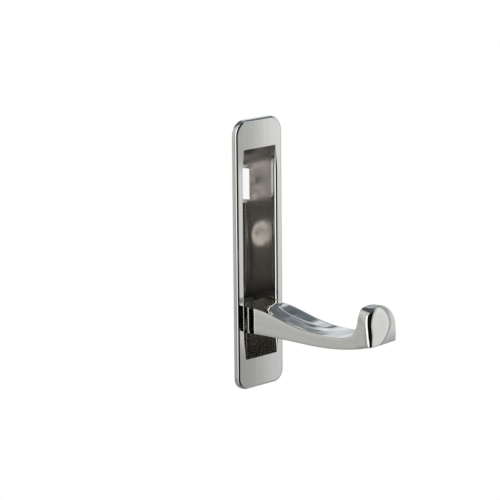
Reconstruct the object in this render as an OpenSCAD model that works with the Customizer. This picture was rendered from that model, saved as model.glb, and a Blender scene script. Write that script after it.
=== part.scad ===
// Retractable coat hook for flush mounting: a polished face plate with a tall window, a cast pocket
// behind it, and an arm that folds out of the pocket on a horizontal pin.
// X is to the right as the plate is seen, Y points into the panel and Z is up.
// The origin is on the panel's surface, at the middle of the face plate.

/* [Face plate] */
// Height of the face plate
plate_h = 134; // [126:1:150]
// Width of the face plate on either side of its window
border_w = 4.85; // [4.3:0.05:8]
// Thickness of the face plate
plate_t = 3.3; // [3:0.1:4.5]
// Radius of the plate's four corners
plate_corner_r = 8; // [4:0.5:12]
// Rounding of the plate's outer front edge
plate_edge_r = 1.6; // [0.6:0.1:1.8]
// Height of the raised rim on the plate's back, which lies on the panel
rim_t = 0.3; // [0.2:0.05:0.5]

/* [Window] */
// Height of the window
window_h = 104.4; // [98:0.2:106]
// How far the window's middle lies above the plate's middle
window_rise = 0.4; // [0:0.1:1]
// Rounding of the window's long edges
window_edge_r = 1.1; // [0.5:0.1:1.5]
// Length over which that rounding dies out towards each corner
window_fade = 8; // [4:0.5:14]

/* [Pocket] */
// Depth of the pocket behind the plate's front face
pocket_depth = 22; // [21.8:0.1:24]
// Depth of the upper well that takes the folded prong, behind the plate's front face
well_depth = 30; // [29.5:0.1:34]
// Height of the well
well_h = 12.5; // [12:0.25:13.5]
// Width and depth of the tall openings in the pocket's two back corners
corner_gap_w = 3.4; // [2.5:0.1:4]
// Height of those openings
corner_gap_h = 15.8; // [10:0.2:18]
// Distance of those openings below the window's top edge
corner_gap_drop = 14.3; // [14.2:0.1:18]
// Wall thickness of the cast pocket
wall = 1.6; // [1.4:0.1:1.9]
// Radius of the pocket's inner back corners
pocket_corner_r = 2.5; // [1:0.25:4]
// Thickness of the pocket's top and bottom ears
ear_t = 2.4; // [2:0.1:3]
// How far each ear reaches past the pocket's end wall
ear_reach = 9; // [8.6:0.1:9.6]
// Width of each ear
ear_w = 21; // [20:0.5:24]
// Radius of the ears' corners
ear_corner_r = 3; // [1:0.5:4]
// Thickness of the ribs on the pocket's back
rib_t = 1.6; // [1.2:0.1:2.4]

/* [Fixing holes] */
// Diameter of the two fixing holes
fixing_d = 4.5; // [4:0.1:5]
// Diameter of the countersinks on the fixing holes
fixing_sink_d = 8.6; // [8:0.1:9.4]
// Distance between the two fixing holes
fixing_spacing = 27; // [26:0.5:29]
// Distance of the upper fixing hole below the window's top edge
fixing_drop = 22; // [20.5:0.25:22.5]
// Diameter of the raised seats round the fixing holes
seat_d = 12.4; // [10.5:0.1:13]
// Height of those seats above the pocket's back
seat_t = 0.8; // [0.5:0.1:1.2]

/* [Arm] */
// Width of the arm
arm_w = 19.1; // [17:0.1:20]
// Gap between the arm and the window on either side
side_gap = 1.1; // [0.9:0.05:1.3]
// Height of the pivot above the window's lower edge
pivot_rise = 17; // [16.5:0.1:18]
// Depth of the pivot behind the plate's front face
pivot_depth = 4.2; // [4.1:0.1:4.6]
// Height of the arm's upper edge above the pivot, at the plate
root_top = 9.6; // [8.8:0.1:9.8]
// Distance out from the pivot over which the upper edge keeps near that height
root_run = 20; // [16:0.5:24]
// Height of the arm's upper edge above the pivot, at its thinnest place
waist_top = 4.45; // [4:0.05:6]
// Height of the arm's lower edge above the pivot, at its nose
nose_rise = 4.1; // [2:0.1:5]
// Height of the prong's top above the pivot
prong_top = 23.3; // [20:0.1:24]
// Thickness of the prong at its top, along the arm
prong_t = 7.8; // [6:0.1:9]
// How far the prong's foot spreads towards the plate
foot_run = 5.7; // [4:0.1:8]
// Height of the prong's foot above the arm's waist
foot_rise = 3.05; // [2:0.05:4]
// Radius of the nose across its width
nose_r = 70; // [40:1:120]
// Depth of the trough in the arm's upper side, at its deepest
trough_depth = 2.1; // [1.2:0.1:3]
// Distance out from the pivot at which the trough starts to fall
trough_start = 5; // [1:0.5:10]
// Distance out from the pivot at which the trough is deepest
trough_deep_at = 20; // [14:0.5:28]
// Width of the rims beside the trough
rim_w = 0.9; // [0.6:0.1:1.6]
// Width of the trough's floor between its two creases
trough_floor_w = 7.8; // [6:0.1:11]
// Extra depth of the trough along its middle
trough_dish = 0.2; // [0.1:0.05:0.4]
// Radius of the knuckle round the pivot
knuckle_r = 10.2; // [9.9:0.1:10.6]

/* [Pivot] */
// Diameter of the pivot pin
pin_d = 3; // [2.6:0.1:3.2]
// Length of the pivot pin that each saddle holds
pin_seat = 2.4; // [2:0.1:2.6]
// Wall of the two nylon bushes in the arm
bush_wall = 0.85; // [0.6:0.05:0.95]
// Length of each bush
bush_l = 6; // [4:0.5:8]
// Outer diameter of the washers beside the arm
washer_d = 6.6; // [5.8:0.1:7]
// Sheet thickness of the conical spring washer
spring_washer_t = 0.35; // [0.25:0.05:0.45]

/* [Stop] */
// Diameter of the stop pin
stop_pin_d = 3; // [2.5:0.1:3.4]
// Wall of the rubber sleeve on the stop pin
sleeve_wall = 1; // [0.6:0.05:1.05]
// Distance of the stop pin behind the pivot
stop_back = 12.9; // [12.8:0.05:13.2]
// Height of the stop pin above the pivot
stop_rise = 6; // [5.8:0.1:6.6]
// Height of the round pads outside the walls round the stop pin
stop_pad_t = 0.4; // [0.3:0.1:1]
// Diameter of the stop pin's head
stop_head_d = 5; // [4.4:0.1:5.6]
// Thickness of the stop pin's head
stop_head_t = 1.2; // [1:0.1:1.5]
// Thickness of the clip on the stop pin's other end
clip_t = 0.7; // [0.5:0.1:1]
// Outer diameter of that clip
clip_d = 6.4; // [5.8:0.1:7]

/* [Bumper] */
// Diameter of the rubber bumper in the well
bumper_d = 8; // [6:0.5:8.5]
// Diameter of the bumper's stem
bumper_stem_d = 3; // [2.5:0.1:3.5]
// Diameter of the snap bead at the stem's end, which lies in a recess in the pocket's back
bumper_bead_d = 4.4; // [3.6:0.1:5]
// Distance of the bumper below the window's top edge
bumper_drop = 6; // [5:0.25:6.5]

/* [Screws] */
// Diameter of the four screws that hold the pocket to the plate
screw_d = 3; // [2.6:0.1:3.2]
// Diameter of their heads
screw_head_d = 6.6; // [6.4:0.1:7]
// Thickness of their heads
screw_head_t = 1.8; // [1.5:0.1:2.2]
// Depth to which they reach into the plate
screw_bite = 1.8; // [1.4:0.1:2]
// Outer diameter of the plate's screw bosses
boss_d = 5.2; // [5:0.1:5.6]
// Distance of the two screws of an ear from each other
screw_spacing = 12.4; // [11:0.1:13]

/* [Hidden] */

// Fits and gaps
slip = 0.05;          // radial clearance of a shaft in its hole
press = 0.02;         // radial clearance of a pushed-in bush
gap = 0.3;            // clearance between pieces that don't touch
stop_gap = 0.15;      // clearance of the arm's tail under the stop sleeve
nose_clear = 0.9;     // clearance of the folding nose under the window's top edge
tail_clear = 0.4;     // clearance of the folding tail over the window's lower edge
flush_gap = 0.05;     // how far the folded arm's root lies behind the plate's front face
overcut = 1;          // how far a cutter runs past the face that it opens
round_fn = 64;        // sides of a round piece as it is shown

chrome = [0.80, 0.81, 0.83];
satin_zinc = [0.52, 0.51, 0.49];
steel = [0.66, 0.67, 0.69];
nylon = [0.93, 0.92, 0.88];
rubber = [0.12, 0.12, 0.12];

// The plate runs from the panel's surface at y = 0 to its front face. The pocket meets it at
// seat_y, a little inside its raised rim
front_y = -plate_t;
seat_y = -rim_t;
window_w = arm_w + 2 * side_gap;
plate_w = window_w + 2 * border_w;
window_top = window_rise + window_h / 2;
window_bottom = window_rise - window_h / 2;
pocket_y = front_y + pocket_depth;
well_y = front_y + well_depth;
well_bottom = window_top - well_h;
shell_w = window_w + 2 * wall;
pivot_y = front_y + pivot_depth;
pivot_z = window_bottom + pivot_rise;
nose_reach = window_top - nose_clear - pivot_z;
tail_reach = pivot_rise - tail_clear;
root_under = pivot_depth - flush_gap;
bush_r = pin_d / 2 + slip + bush_wall;
pin_half = window_w / 2 + pin_seat;
block_half = pin_half + slip + wall / 2;
sleeve_r = stop_pin_d / 2 + slip + sleeve_wall;
sleeve_l = window_w - 2 * gap;
upper_fixing_z = window_top - fixing_drop;
lower_fixing_z = upper_fixing_z - fixing_spacing;
bumper_z = window_top - bumper_drop;
rear_y = well_y + wall;
trough_end = nose_reach * 0.76;
trough_lift = 0.3;
fixing_boss_r = seat_d / 2 - wall;
recess_l = screw_d * 1.1;    // arms of the cross recess in a screw's head
recess_w = screw_d * 0.25;
clip_x = shell_w / 2 + stop_pad_t + gap / 2;
pin_neck_r = stop_pin_d * 0.37;
screw_top_z = window_top + wall + ear_reach / 2;
screw_bottom_z = window_bottom - wall - ear_reach / 2;

// A point on a cubic curve with four control points
function on_curve(p, t) =
    pow(1 - t, 3) * p[0] + 3 * pow(1 - t, 2) * t * p[1]
        + 3 * (1 - t) * pow(t, 2) * p[2] + pow(t, 3) * p[3];

// The points of such a curve, without its last one
function curve(p, steps = 14) = [for (i = [0:steps - 1]) on_curve(p, i / steps)];

// The points of an arc about the origin
function arc(r, from, to, steps = 12) =
    [for (i = [0:steps]) let (a = from + (to - from) * i / steps) [r * cos(a), r * sin(a)]];

module rounded_rect(w, h, r) {
    square([w - 2 * r, h], center = true);
    square([w, h - 2 * r], center = true);
    for (sx = [-1, 1], sz = [-1, 1])
        translate([sx * (w / 2 - r), sz * (h / 2 - r)]) circle(r, $fn = round_fn);
}

// Stands a flat outline up in the plate's plane, from y = from to y = to
module upright(from, to) {
    translate([0, to, 0]) rotate([90, 0, 0]) linear_extrude(to - from) children();
}

// A cylinder along Y, from y = from to y = to
module bore_y(r, from, to) {
    translate([0, to, 0]) rotate([90, 0, 0]) cylinder(r = r, h = to - from, $fn = round_fn);
}

// A cylinder along X, centred
module rod_x(r, l) {
    rotate([0, 90, 0]) cylinder(r = r, h = l, center = true, $fn = round_fn);
}

// The plate's section: a flat bar of half width w with its front outer edge rounded
module edge_section(w) {
    r = plate_edge_r;
    translate([0, front_y]) square([w - r, plate_t]);
    translate([0, front_y + r]) square([w, plate_t - r]);
    translate([w - r, front_y + r]) circle(r, $fn = round_fn);
}

// The plate's outer body: two crossing bars and four round corners, all of that section
module plate_blank() {
    corner_x = plate_w / 2 - plate_corner_r;
    corner_z = plate_h / 2 - plate_corner_r;
    linear_extrude(2 * corner_z, center = true) for (m = [0, 1]) mirror([m, 0]) edge_section(plate_w / 2);
    rotate([0, 90, 0]) linear_extrude(2 * corner_x, center = true)
        for (m = [0, 1]) mirror([m, 0]) edge_section(plate_h / 2);
    for (sx = [-1, 1], sz = [-1, 1]) translate([sx * corner_x, 0, sz * corner_z])
        rotate([-90, 0, 0]) rotate_extrude($fn = round_fn) edge_section(plate_corner_r);
}

// One long edge of the window: a quarter round that shrinks to nothing at both corners
module window_edge_cut() {
    r = window_edge_r;
    steps = 8;
    straight = window_h / 2 - window_fade;
    rounding = [for (i = [0:steps]) let (a = 270 - 90 * i / steps) [r + r * cos(a), r + r * sin(a)]];
    section = concat([[0, 0]], rounding);
    n = len(section);
    points = concat(
        [for (s = [-1, 1], p = section) [p[0], front_y + p[1], s * straight]],
        [for (s = [-1, 1]) [0, front_y, s * window_h / 2]]);
    walls = [for (i = [0:n - 1]) let (j = (i + 1) % n) each
        [[j, i, n + i], [j, n + i, n + j], [i, j, 2 * n], [n + j, n + i, 2 * n + 1]]];
    polyhedron(points, walls);
}

module face_plate() color(chrome) {
    relief_top = screw_top_z + ear_h() / 2 + gap;
    relief_bottom = screw_bottom_z - ear_h() / 2 - gap;
    difference() {
        plate_blank();
        translate([0, 0, (relief_top + relief_bottom) / 2]) upright(seat_y, overcut)
            rounded_rect(2 * (block_half + gap), relief_top - relief_bottom, ear_corner_r + gap);
        translate([0, 0, window_rise]) upright(front_y - overcut, overcut)
            square([window_w, window_h], center = true);
        for (m = [0, 1]) mirror([m, 0, 0]) translate([window_w / 2, 0, window_rise]) window_edge_cut();
        screw_places() bore_y(screw_d / 2 + slip, -screw_bite, overcut);
        translate([0, pivot_y, pivot_z]) rod_x(pin_d / 2 + slip, 2 * (pin_half + slip));
    }
    screw_places() difference() {
        bore_y(boss_d / 2, seat_y, seat_y + ear_t - slip);
        bore_y(screw_d / 2 + slip, -screw_bite, ear_t + overcut);
    }
}

module screw_places() {
    for (x = [-1, 1], z = [screw_bottom_z, screw_top_z])
        translate([x * screw_spacing / 2, 0, z]) children();
}

// Height of an ear: its reach, and as much again as both walls where it grips the pocket
function ear_h() = ear_reach + 2 * wall;

// The pocket's outline as it is seen from above, from y = from to y = to, with round back corners
module pocket_plan(w, from, to, r) {
    translate([-w / 2, from]) square([w, to - r - from]);
    translate([-w / 2 + r, from]) square([w - 2 * r, to - from]);
    for (s = [-1, 1]) translate([s * (w / 2 - r), to - r]) circle(r, $fn = round_fn);
}

module pocket_outer() {
    r = pocket_corner_r + wall;
    translate([0, 0, window_bottom - wall]) linear_extrude(window_h + 2 * wall)
        pocket_plan(shell_w, seat_y, pocket_y + wall, r);
    translate([0, 0, well_bottom - wall]) linear_extrude(well_h + 2 * wall)
        pocket_plan(shell_w, seat_y, rear_y, r);
    for (z = [screw_bottom_z, screw_top_z]) translate([0, 0, z])
        upright(seat_y, seat_y + ear_t) rounded_rect(ear_w, ear_h(), ear_corner_r);
    fixing_places() bore_y(fixing_boss_r, pocket_y, rear_y);
    back_rib();
    for (m = [0, 1]) mirror([m, 0, 0]) {
        saddle_block();
        stop_pad();
    }
}

module fixing_places() {
    for (z = [lower_fixing_z, upper_fixing_z]) translate([0, 0, z]) children();
}

// The tall opening in a back corner of the pocket, where the casting's core is held
module corner_gap() {
    across = corner_gap_w + wall + overcut;
    foot = window_top - corner_gap_drop - corner_gap_h;
    translate([window_w / 2 - corner_gap_w, pocket_y - corner_gap_w, foot])
        cube([across, across, corner_gap_h]);
}

// The rib that ties both fixing bosses to the well and runs out below them
module back_rib() {
    back = pocket_y + wall / 2;
    foot = window_bottom + wall;
    rotate([90, 0, 90]) linear_extrude(rib_t, center = true)
        polygon([[back, foot], [pocket_y + wall + rib_t, foot],
                 [rear_y - rib_t, lower_fixing_z - fixing_boss_r],
                 [rear_y - rib_t, well_bottom], [back, well_bottom]]);
}

// The block outside each side wall in which the pivot pin's end lies
module saddle_block() {
    size = pin_d + 2 * slip + 2 * wall;
    translate([window_w / 2, seat_y, pivot_z - size / 2])
        cube([block_half - window_w / 2, pivot_y + size / 2 - seat_y, size]);
}

// The round pad outside each side wall round the stop pin
module stop_pad() {
    translate([shell_w / 2 - wall / 2, pivot_y + stop_back, pivot_z + stop_rise])
        rotate([0, 90, 0]) cylinder(r = stop_pin_d / 2 + wall, h = wall / 2 + stop_pad_t, $fn = round_fn);
}

module pocket_shell() color(satin_zinc) {
    difference() {
        pocket_outer();
        translate([0, 0, window_bottom]) linear_extrude(window_h)
            pocket_plan(window_w, seat_y - overcut, pocket_y, pocket_corner_r);
        translate([0, 0, well_bottom]) linear_extrude(well_h)
            pocket_plan(window_w, seat_y - overcut, well_y, pocket_corner_r);
        screw_places() bore_y(boss_d / 2 + slip, seat_y - overcut, ear_t + overcut);
        translate([0, pivot_y, pivot_z]) rod_x(pin_d / 2 + slip, 2 * (pin_half + slip));
        translate([-pin_half - slip, seat_y - overcut, pivot_z - pin_d / 2 - slip])
            cube([2 * (pin_half + slip), pivot_y + overcut - seat_y, pin_d + 2 * slip]);
        translate([0, pivot_y + stop_back, pivot_z + stop_rise])
            rod_x(stop_pin_d / 2 + slip, shell_w + 2 * stop_pad_t + 2 * overcut);
        for (m = [0, 1]) mirror([m, 0, 0]) corner_gap();
        fixing_places() bore_y(fixing_d / 2, pocket_y - overcut, rear_y + overcut);
        fixing_places() fixing_sink();
        translate([0, 0, bumper_z]) bore_y(bumper_stem_d / 2 + slip, well_y - overcut, rear_y + overcut);
        translate([0, 0, bumper_z]) bore_y(bumper_bead_d / 2 + gap, rear_y - wall / 2, rear_y + overcut);
    }
    fixing_places() fixing_seat();
}

// The countersink of a fixing hole, from the top of its seat into the back wall
module fixing_sink() {
    rim_y = pocket_y - seat_t;
    depth = (fixing_sink_d - fixing_d) / 2;
    translate([0, rim_y, 0]) rotate([-90, 0, 0])
        cylinder(r1 = fixing_sink_d / 2, r2 = fixing_d / 2, h = depth, $fn = round_fn);
}

// The raised round seat of a fixing hole on the pocket's back
module fixing_seat() {
    difference() {
        bore_y(seat_d / 2, pocket_y - seat_t, pocket_y);
        bore_y(fixing_d / 2, pocket_y - seat_t - overcut, pocket_y + overcut);
        fixing_sink();
    }
}

module shell_screws() color(steel) screw_places() {
    head_y = seat_y + ear_t + slip;
    bore_y(screw_d / 2, gap - screw_bite, head_y + screw_head_t / 2);
    difference() {
        bore_y(screw_head_d / 2, head_y, head_y + screw_head_t);
        for (a = [0, 90]) rotate([0, a, 0])
            translate([-recess_l / 2, head_y + screw_head_t / 2, -recess_w / 2])
                cube([recess_l, screw_head_t, recess_w]);
    }
}

// The arm's lower edge, from the nose back to the pivot
function under_edge() = let (bend = nose_reach * 0.51) concat(
    curve([[nose_reach + 2, nose_rise + 0.6], [nose_reach * 0.84, 0.3],
           [nose_reach * 0.7, -1.6], [bend, -1.9]]),
    curve([[bend, -1.9], [nose_reach * 0.33, -2.3],
           [nose_reach * 0.16, 1.7 - root_under], [0, -root_under]]));

// The arm's upper edge, from the knuckle out to the inner side of the prong
function upper_edge() = let (waist = nose_reach * 0.555, inner = nose_reach - prong_t,
                             foot = [inner - foot_run, waist_top + foot_rise]) concat(
    curve([[root_run * 0.3, root_top], [root_run, root_top + 0.7],
           [root_run * 1.5, waist_top + 0.25], [waist, waist_top]]),
    curve([[waist, waist_top], [inner * 0.737, waist_top], [inner * 0.851, waist_top + foot_rise * 0.05],
           foot], 10),
    curve([foot, [inner - foot_run * 0.2, waist_top + foot_rise * 1.75],
           [inner - foot_run * 0.05, waist_top + foot_rise * 3.5], [inner, prong_top - foot_rise]], 10),
    [[inner, prong_top + overcut]]);

// Height of the arm's upper edge at a distance out from the pivot, up to the foot of the prong
function rim_height(u) = let (e = upper_edge(), n = len(e) - 12)
    u <= e[0][0] ? root_top : lookup(u, [for (i = [0:n]) e[i]]);

// Side view of the arm about its pivot: out from the plate is +X, up is +Y
module arm_side() {
    difference() {
        polygon(concat(
            under_edge(), [[0, -root_under]],
            arc(tail_reach, 180 + asin(root_under / tail_reach), 180 - asin(tail_top() / tail_reach)),
            arc(knuckle_r, 180 - asin(tail_top() / knuckle_r), 180 - asin(root_top / knuckle_r)),
            upper_edge(),
            [[nose_reach + 2, prong_top + overcut]]));
        translate([-stop_back, stop_rise]) circle(sleeve_r + stop_gap, $fn = round_fn);
    }
}

// Height of the tail's upper side above the pivot
function tail_top() = stop_rise - sleeve_r + 0.4;

// Front view of the arm: straight sides under a round top
module arm_front() {
    r = arm_w / 2;
    spring_z = prong_top - r;
    translate([-r, -tail_reach]) square([arm_w, spring_z + tail_reach]);
    translate([0, spring_z]) circle(r, $fn = 2 * round_fn);
}

// A drum about the pivot whose rim is the nose, slightly round across its width
module nose_drum() {
    rotate([0, 90, 0]) rotate_extrude($fn = 4 * round_fn) intersection() {
        translate([0, -arm_w]) square([nose_reach, 2 * arm_w]);
        translate([nose_reach - nose_r, 0]) circle(nose_r, $fn = 4 * round_fn);
    }
}

// Depth of the trough at a distance out from the pivot: it falls smoothly from the knuckle and
// runs out before the prong, a little above the arm's upper side at both ends
function trough_at(u) =
    let (falling = (u - trough_start) / (trough_deep_at - trough_start),
         rising = max(0, (trough_end - u) / (trough_end - trough_deep_at)),
         share = u < trough_deep_at ? pow(falling, 2) * (3 - 2 * falling) : pow(rising, 1.25))
    (trough_depth + trough_lift) * share - trough_lift;

// The trough's hollow: sloping sides down to two creases, and a dished floor between them
module trough_cut() {
    steps = 24;
    crease = trough_floor_w / 2;
    outer = arm_w / 2 - rim_w;
    dish = trough_dish;
    lift = 0.5;
    half = function (d) [[-outer - lift * (outer - crease) / max(d, 1), lift], [-crease, -d],
                         [-crease / 2, -d - dish * 0.75]];
    section = function (d) let (left = half(d)) concat(
        [[-outer - lift, 4]], left, [[0, -d - dish]],
        [for (i = [2:-1:0]) [-left[i][0], left[i][1]]], [[outer + lift, 4]]);
    n = len(section(1));
    points = [for (i = [0:steps])
        let (u = trough_start + (trough_end - trough_start) * i / steps, z = rim_height(u))
            each [for (p = section(trough_at(u))) [p[0], -u, z + p[1]]]];
    walls = [for (i = [0:steps - 1], j = [0:n - 1]) let (a = i * n + j, b = i * n + (j + 1) % n)
        each [[b, a, a + n], [b, a + n, b + n]]];
    polyhedron(points, concat(walls, [[for (j = [0:n - 1]) j], [for (j = [n - 1:-1:0]) steps * n + j]]));
}

module hook_arm() color(chrome) translate([0, pivot_y, pivot_z]) difference() {
    intersection() {
        rotate([90, 0, -90]) linear_extrude(arm_w, center = true) arm_side();
        upright(-nose_reach - overcut, tail_reach + overcut) arm_front();
        nose_drum();
    }
    trough_cut();
    rod_x(bush_r + press, arm_w + 2 * overcut);
}

module bush(side) {
    translate([side * (arm_w - bush_l) / 2, pivot_y, pivot_z]) difference() {
        rod_x(bush_r, bush_l);
        rod_x(pin_d / 2 + slip, bush_l + 2 * overcut);
    }
}

module bush_left() color(nylon) bush(-1);

module bush_right() color(nylon) bush(1);

module pivot_pin() color(steel) translate([0, pivot_y, pivot_z]) rod_x(pin_d / 2, 2 * pin_half);

// The flat washer in the gap on the arm's left
module thrust_washer() color(nylon) {
    t = side_gap - 2 * slip;
    translate([-(window_w + arm_w) / 4, pivot_y, pivot_z]) difference() {
        rod_x(washer_d / 2, t);
        rod_x(pin_d / 2 + slip, t + 2 * overcut);
    }
}

// The conical washer in the gap on the arm's right, which gives the hinge its friction
module spring_washer() color(steel) {
    rise = side_gap - 2 * slip - spring_washer_t;
    bore = pin_d / 2 + slip;
    translate([arm_w / 2 + slip, pivot_y, pivot_z]) rotate([0, 90, 0]) rotate_extrude($fn = round_fn)
        polygon([[bore, rise], [washer_d / 2, 0],
                 [washer_d / 2, spring_washer_t], [bore, rise + spring_washer_t]]);
}

module at_stop() {
    translate([0, pivot_y + stop_back, pivot_z + stop_rise]) children();
}

// The headed pin across the pocket that stops the arm's tail
module stop_pin() color(steel) at_stop() {
    seat = shell_w / 2 + stop_pad_t;
    end = clip_x + clip_t + slip + gap;
    difference() {
        union() {
            translate([(end - seat) / 2, 0, 0]) rod_x(stop_pin_d / 2, seat + end);
            translate([-seat - stop_head_t / 2, 0, 0]) rod_x(stop_head_d / 2, stop_head_t);
        }
        translate([clip_x + clip_t / 2, 0, 0]) difference() {
            rod_x(stop_pin_d, clip_t + 2 * slip);
            rod_x(pin_neck_r, clip_t + overcut);
        }
    }
}

module stop_sleeve() color(rubber) at_stop() difference() {
    rod_x(sleeve_r, sleeve_l);
    rod_x(stop_pin_d / 2 + slip, sleeve_l + 2 * overcut);
}

// The open clip that snaps into the stop pin's groove
module stop_clip() color(steel) at_stop() translate([clip_x + clip_t / 2, 0, 0]) difference() {
    rod_x(clip_d / 2, clip_t);
    rod_x(pin_neck_r + slip, clip_t + overcut);
    translate([0, 0, clip_d / 2]) cube([clip_t + overcut, 2 * pin_neck_r, clip_d], center = true);
}

// The mushroom-shaped bumper that the folded prong comes to rest on
module prong_bumper() color(rubber) translate([0, 0, bumper_z]) {
    face_y = pivot_y + prong_top + gap;
    bore_y(bumper_d / 2, face_y, well_y);
    bore_y(bumper_stem_d / 2, well_y - slip, rear_y - wall / 4);
    bore_y(bumper_bead_d / 2, rear_y - wall / 2 + slip, rear_y - slip);
}

face_plate();
pocket_shell();
shell_screws();
hook_arm();
bush_left();
bush_right();
pivot_pin();
thrust_washer();
spring_washer();
stop_pin();
stop_sleeve();
stop_clip();
prong_bumper();
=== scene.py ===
import math
import bmesh
import bpy
from mathutils import Matrix, Vector


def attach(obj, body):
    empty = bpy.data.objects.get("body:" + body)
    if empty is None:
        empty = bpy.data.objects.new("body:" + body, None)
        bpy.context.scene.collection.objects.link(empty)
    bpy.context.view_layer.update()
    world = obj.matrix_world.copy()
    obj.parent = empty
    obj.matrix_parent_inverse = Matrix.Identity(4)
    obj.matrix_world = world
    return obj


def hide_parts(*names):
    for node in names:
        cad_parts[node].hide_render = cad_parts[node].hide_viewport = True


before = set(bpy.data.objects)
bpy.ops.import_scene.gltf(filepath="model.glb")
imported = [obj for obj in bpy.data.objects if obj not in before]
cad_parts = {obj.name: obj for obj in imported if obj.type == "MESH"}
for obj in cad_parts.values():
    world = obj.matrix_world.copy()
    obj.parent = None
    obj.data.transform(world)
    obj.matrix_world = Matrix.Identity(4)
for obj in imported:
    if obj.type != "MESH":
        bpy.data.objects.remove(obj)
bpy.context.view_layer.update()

# Retractable coat hook. Numbers in the dictionaries are millimetres and degrees unless a note
# says otherwise; meshes are made in metres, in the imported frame.
mm = 0.001
tiny = 1e-9  # keeps a division from failing on a span of no length
mergeWithin = 0.002  # points closer than this become one


# Small helpers

def linearColor(hexText):
    # sRGB hex to the linear colour that a shader wants
    channels = [int(hexText[i:i + 2], 16) / 255 for i in (1, 3, 5)]
    linear = [c / 12.92 if c <= 0.04045 else ((c + 0.055) / 1.055) ** 2.4 for c in channels]
    return (*linear, 1.0)


def addNode(tree, kind, inputs=None, **settings):
    # one node with its settings; an input given as a socket is linked
    node = tree.nodes.new(kind)
    for name, value in settings.items():
        setattr(node, name, value)
    for key, value in (inputs or {}).items():
        socket = node.inputs[key]
        if isinstance(value, bpy.types.NodeSocket):
            tree.links.new(value, socket)
        else:
            socket.default_value = value
    return node


def newMaterial(name):
    material = bpy.data.materials.new(name)
    material.use_nodes = True
    material.node_tree.nodes.clear()
    return material, material.node_tree


def closeMaterial(tree, shader):
    out = addNode(tree, "ShaderNodeOutputMaterial")
    tree.links.new(shader, out.inputs["Surface"])


def setRamp(node, stops):
    # stops are (place, hex colour) in order, with a gain where one is brighter than white
    ramp = node.color_ramp
    while len(ramp.elements) > 1:
        ramp.elements.remove(ramp.elements[-1])
    ramp.elements[0].position = stops[0][0]
    for place, *_ in stops[1:]:
        ramp.elements.new(place)
    for element, (place, colour, *gain) in zip(ramp.elements, stops):
        element.color = [c * gain[0] if gain else c for c in linearColor(colour)]


def ease(x):
    x = min(1.0, max(0.0, x))
    return x * x * (3 - 2 * x)


def lerp(a, b, t):
    return a + (b - a) * t


def newObject(name, bm):
    # an object at the origin, its place in its mesh; it uses the bmesh up
    mesh = bpy.data.meshes.new(name)
    bm.to_mesh(mesh)
    bm.free()
    obj = bpy.data.objects.new(name, mesh)
    bpy.context.scene.collection.objects.link(obj)
    return obj


def meshObject(name, bm, material, body):
    # a piece with its material, which rides on a body
    obj = newObject(name, bm)
    obj.data.materials.append(material)
    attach(obj, body)
    return obj


def applyModifiers(obj):
    view = bpy.context.evaluated_depsgraph_get()
    made = bpy.data.meshes.new_from_object(obj.evaluated_get(view))
    obj.modifiers.clear()
    obj.data = made
    return made


def smoothEdges(obj, degrees):
    # smooth shading that stops at edges sharper than this
    bpy.context.view_layer.objects.active = obj
    obj.select_set(True)
    bpy.ops.object.shade_smooth_by_angle(angle=math.radians(degrees))
    obj.select_set(False)


def makeStrip(bm, rows):
    # faces between neighbouring rows of vertices, lists of equal length
    for a, b in zip(rows, rows[1:]):
        for i in range(len(a) - 1):
            corners = [a[i], a[i + 1], b[i + 1], b[i]]
            kept = [v for k, v in enumerate(corners) if v not in corners[:k]]
            if len(kept) > 2:
                bm.faces.new(kept)


def turned(bm, profile, segments, x=0.0, z=0.0):
    # a profile of (radius, place along Y) turned about the line along Y through x, z
    angles = [2 * math.pi * k / segments for k in range(segments)]
    rings = []
    for radius, along in profile:
        if radius < tiny:
            rings.append([bm.verts.new((x * mm, along * mm, z * mm))] * (segments + 1))
            continue
        ring = [bm.verts.new(((x + radius * math.cos(a)) * mm, along * mm,
                              (z + radius * math.sin(a)) * mm)) for a in angles]
        rings.append(ring + ring[:1])
    return rings


# Camera: the photograph's view, fitted to its edges

photoView = {
    "azimuth": -43.82, "elevation": 12.77, "roll": -0.55,
    "distance": 1165.93, "target": (-7.16, -3.28, 3.01), "nearest": 20,
    "focalPixels": 2397.9, "framePixels": 500, "sensor": 36.0,
}


def makeCamera():
    v = photoView
    a, e, r = (math.radians(v[k]) for k in ("azimuth", "elevation", "roll"))
    back = Vector((math.sin(a) * math.cos(e), -math.cos(a) * math.cos(e), math.sin(e)))
    side = (-back).cross(Vector((0, 0, 1))).normalized()
    top = side.cross(-back)
    right = side * math.cos(r) + top * math.sin(r)
    up = top * math.cos(r) - side * math.sin(r)
    data = bpy.data.cameras.new("photoCamera")
    data.sensor_width = v["sensor"]
    data.lens = v["focalPixels"] / v["framePixels"] * v["sensor"]
    data.clip_start = v["nearest"] * mm
    camera = bpy.data.objects.new("photoCamera", data)
    place = Vector(v["target"]) * mm + back * v["distance"] * mm
    turn = Matrix((right, up, back)).transposed().to_4x4()
    camera.matrix_world = Matrix.Translation(place) @ turn
    bpy.context.scene.collection.objects.link(camera)
    bpy.context.scene.camera = camera


makeCamera()
print("camera made")


# Materials. A span is the part of a noise texture's 0 to 1 over which a look changes from its
# first value to its second; haze is how the roughness changes over it, as shares of the look's.

chromeLook = {
    "dark": "#e5e6e4", "light": "#ecece9", "toneSpan": (0.36, 0.62),
    "roughness": 0.045, "hazeSpan": (0.3, 0.7), "haze": (0.85, 1.2),
    "streakWidth": 0.7, "streakLength": 45, "streakBump": 0.003,
    "waveSize": 12, "waveBump": 0.02,
}


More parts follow.
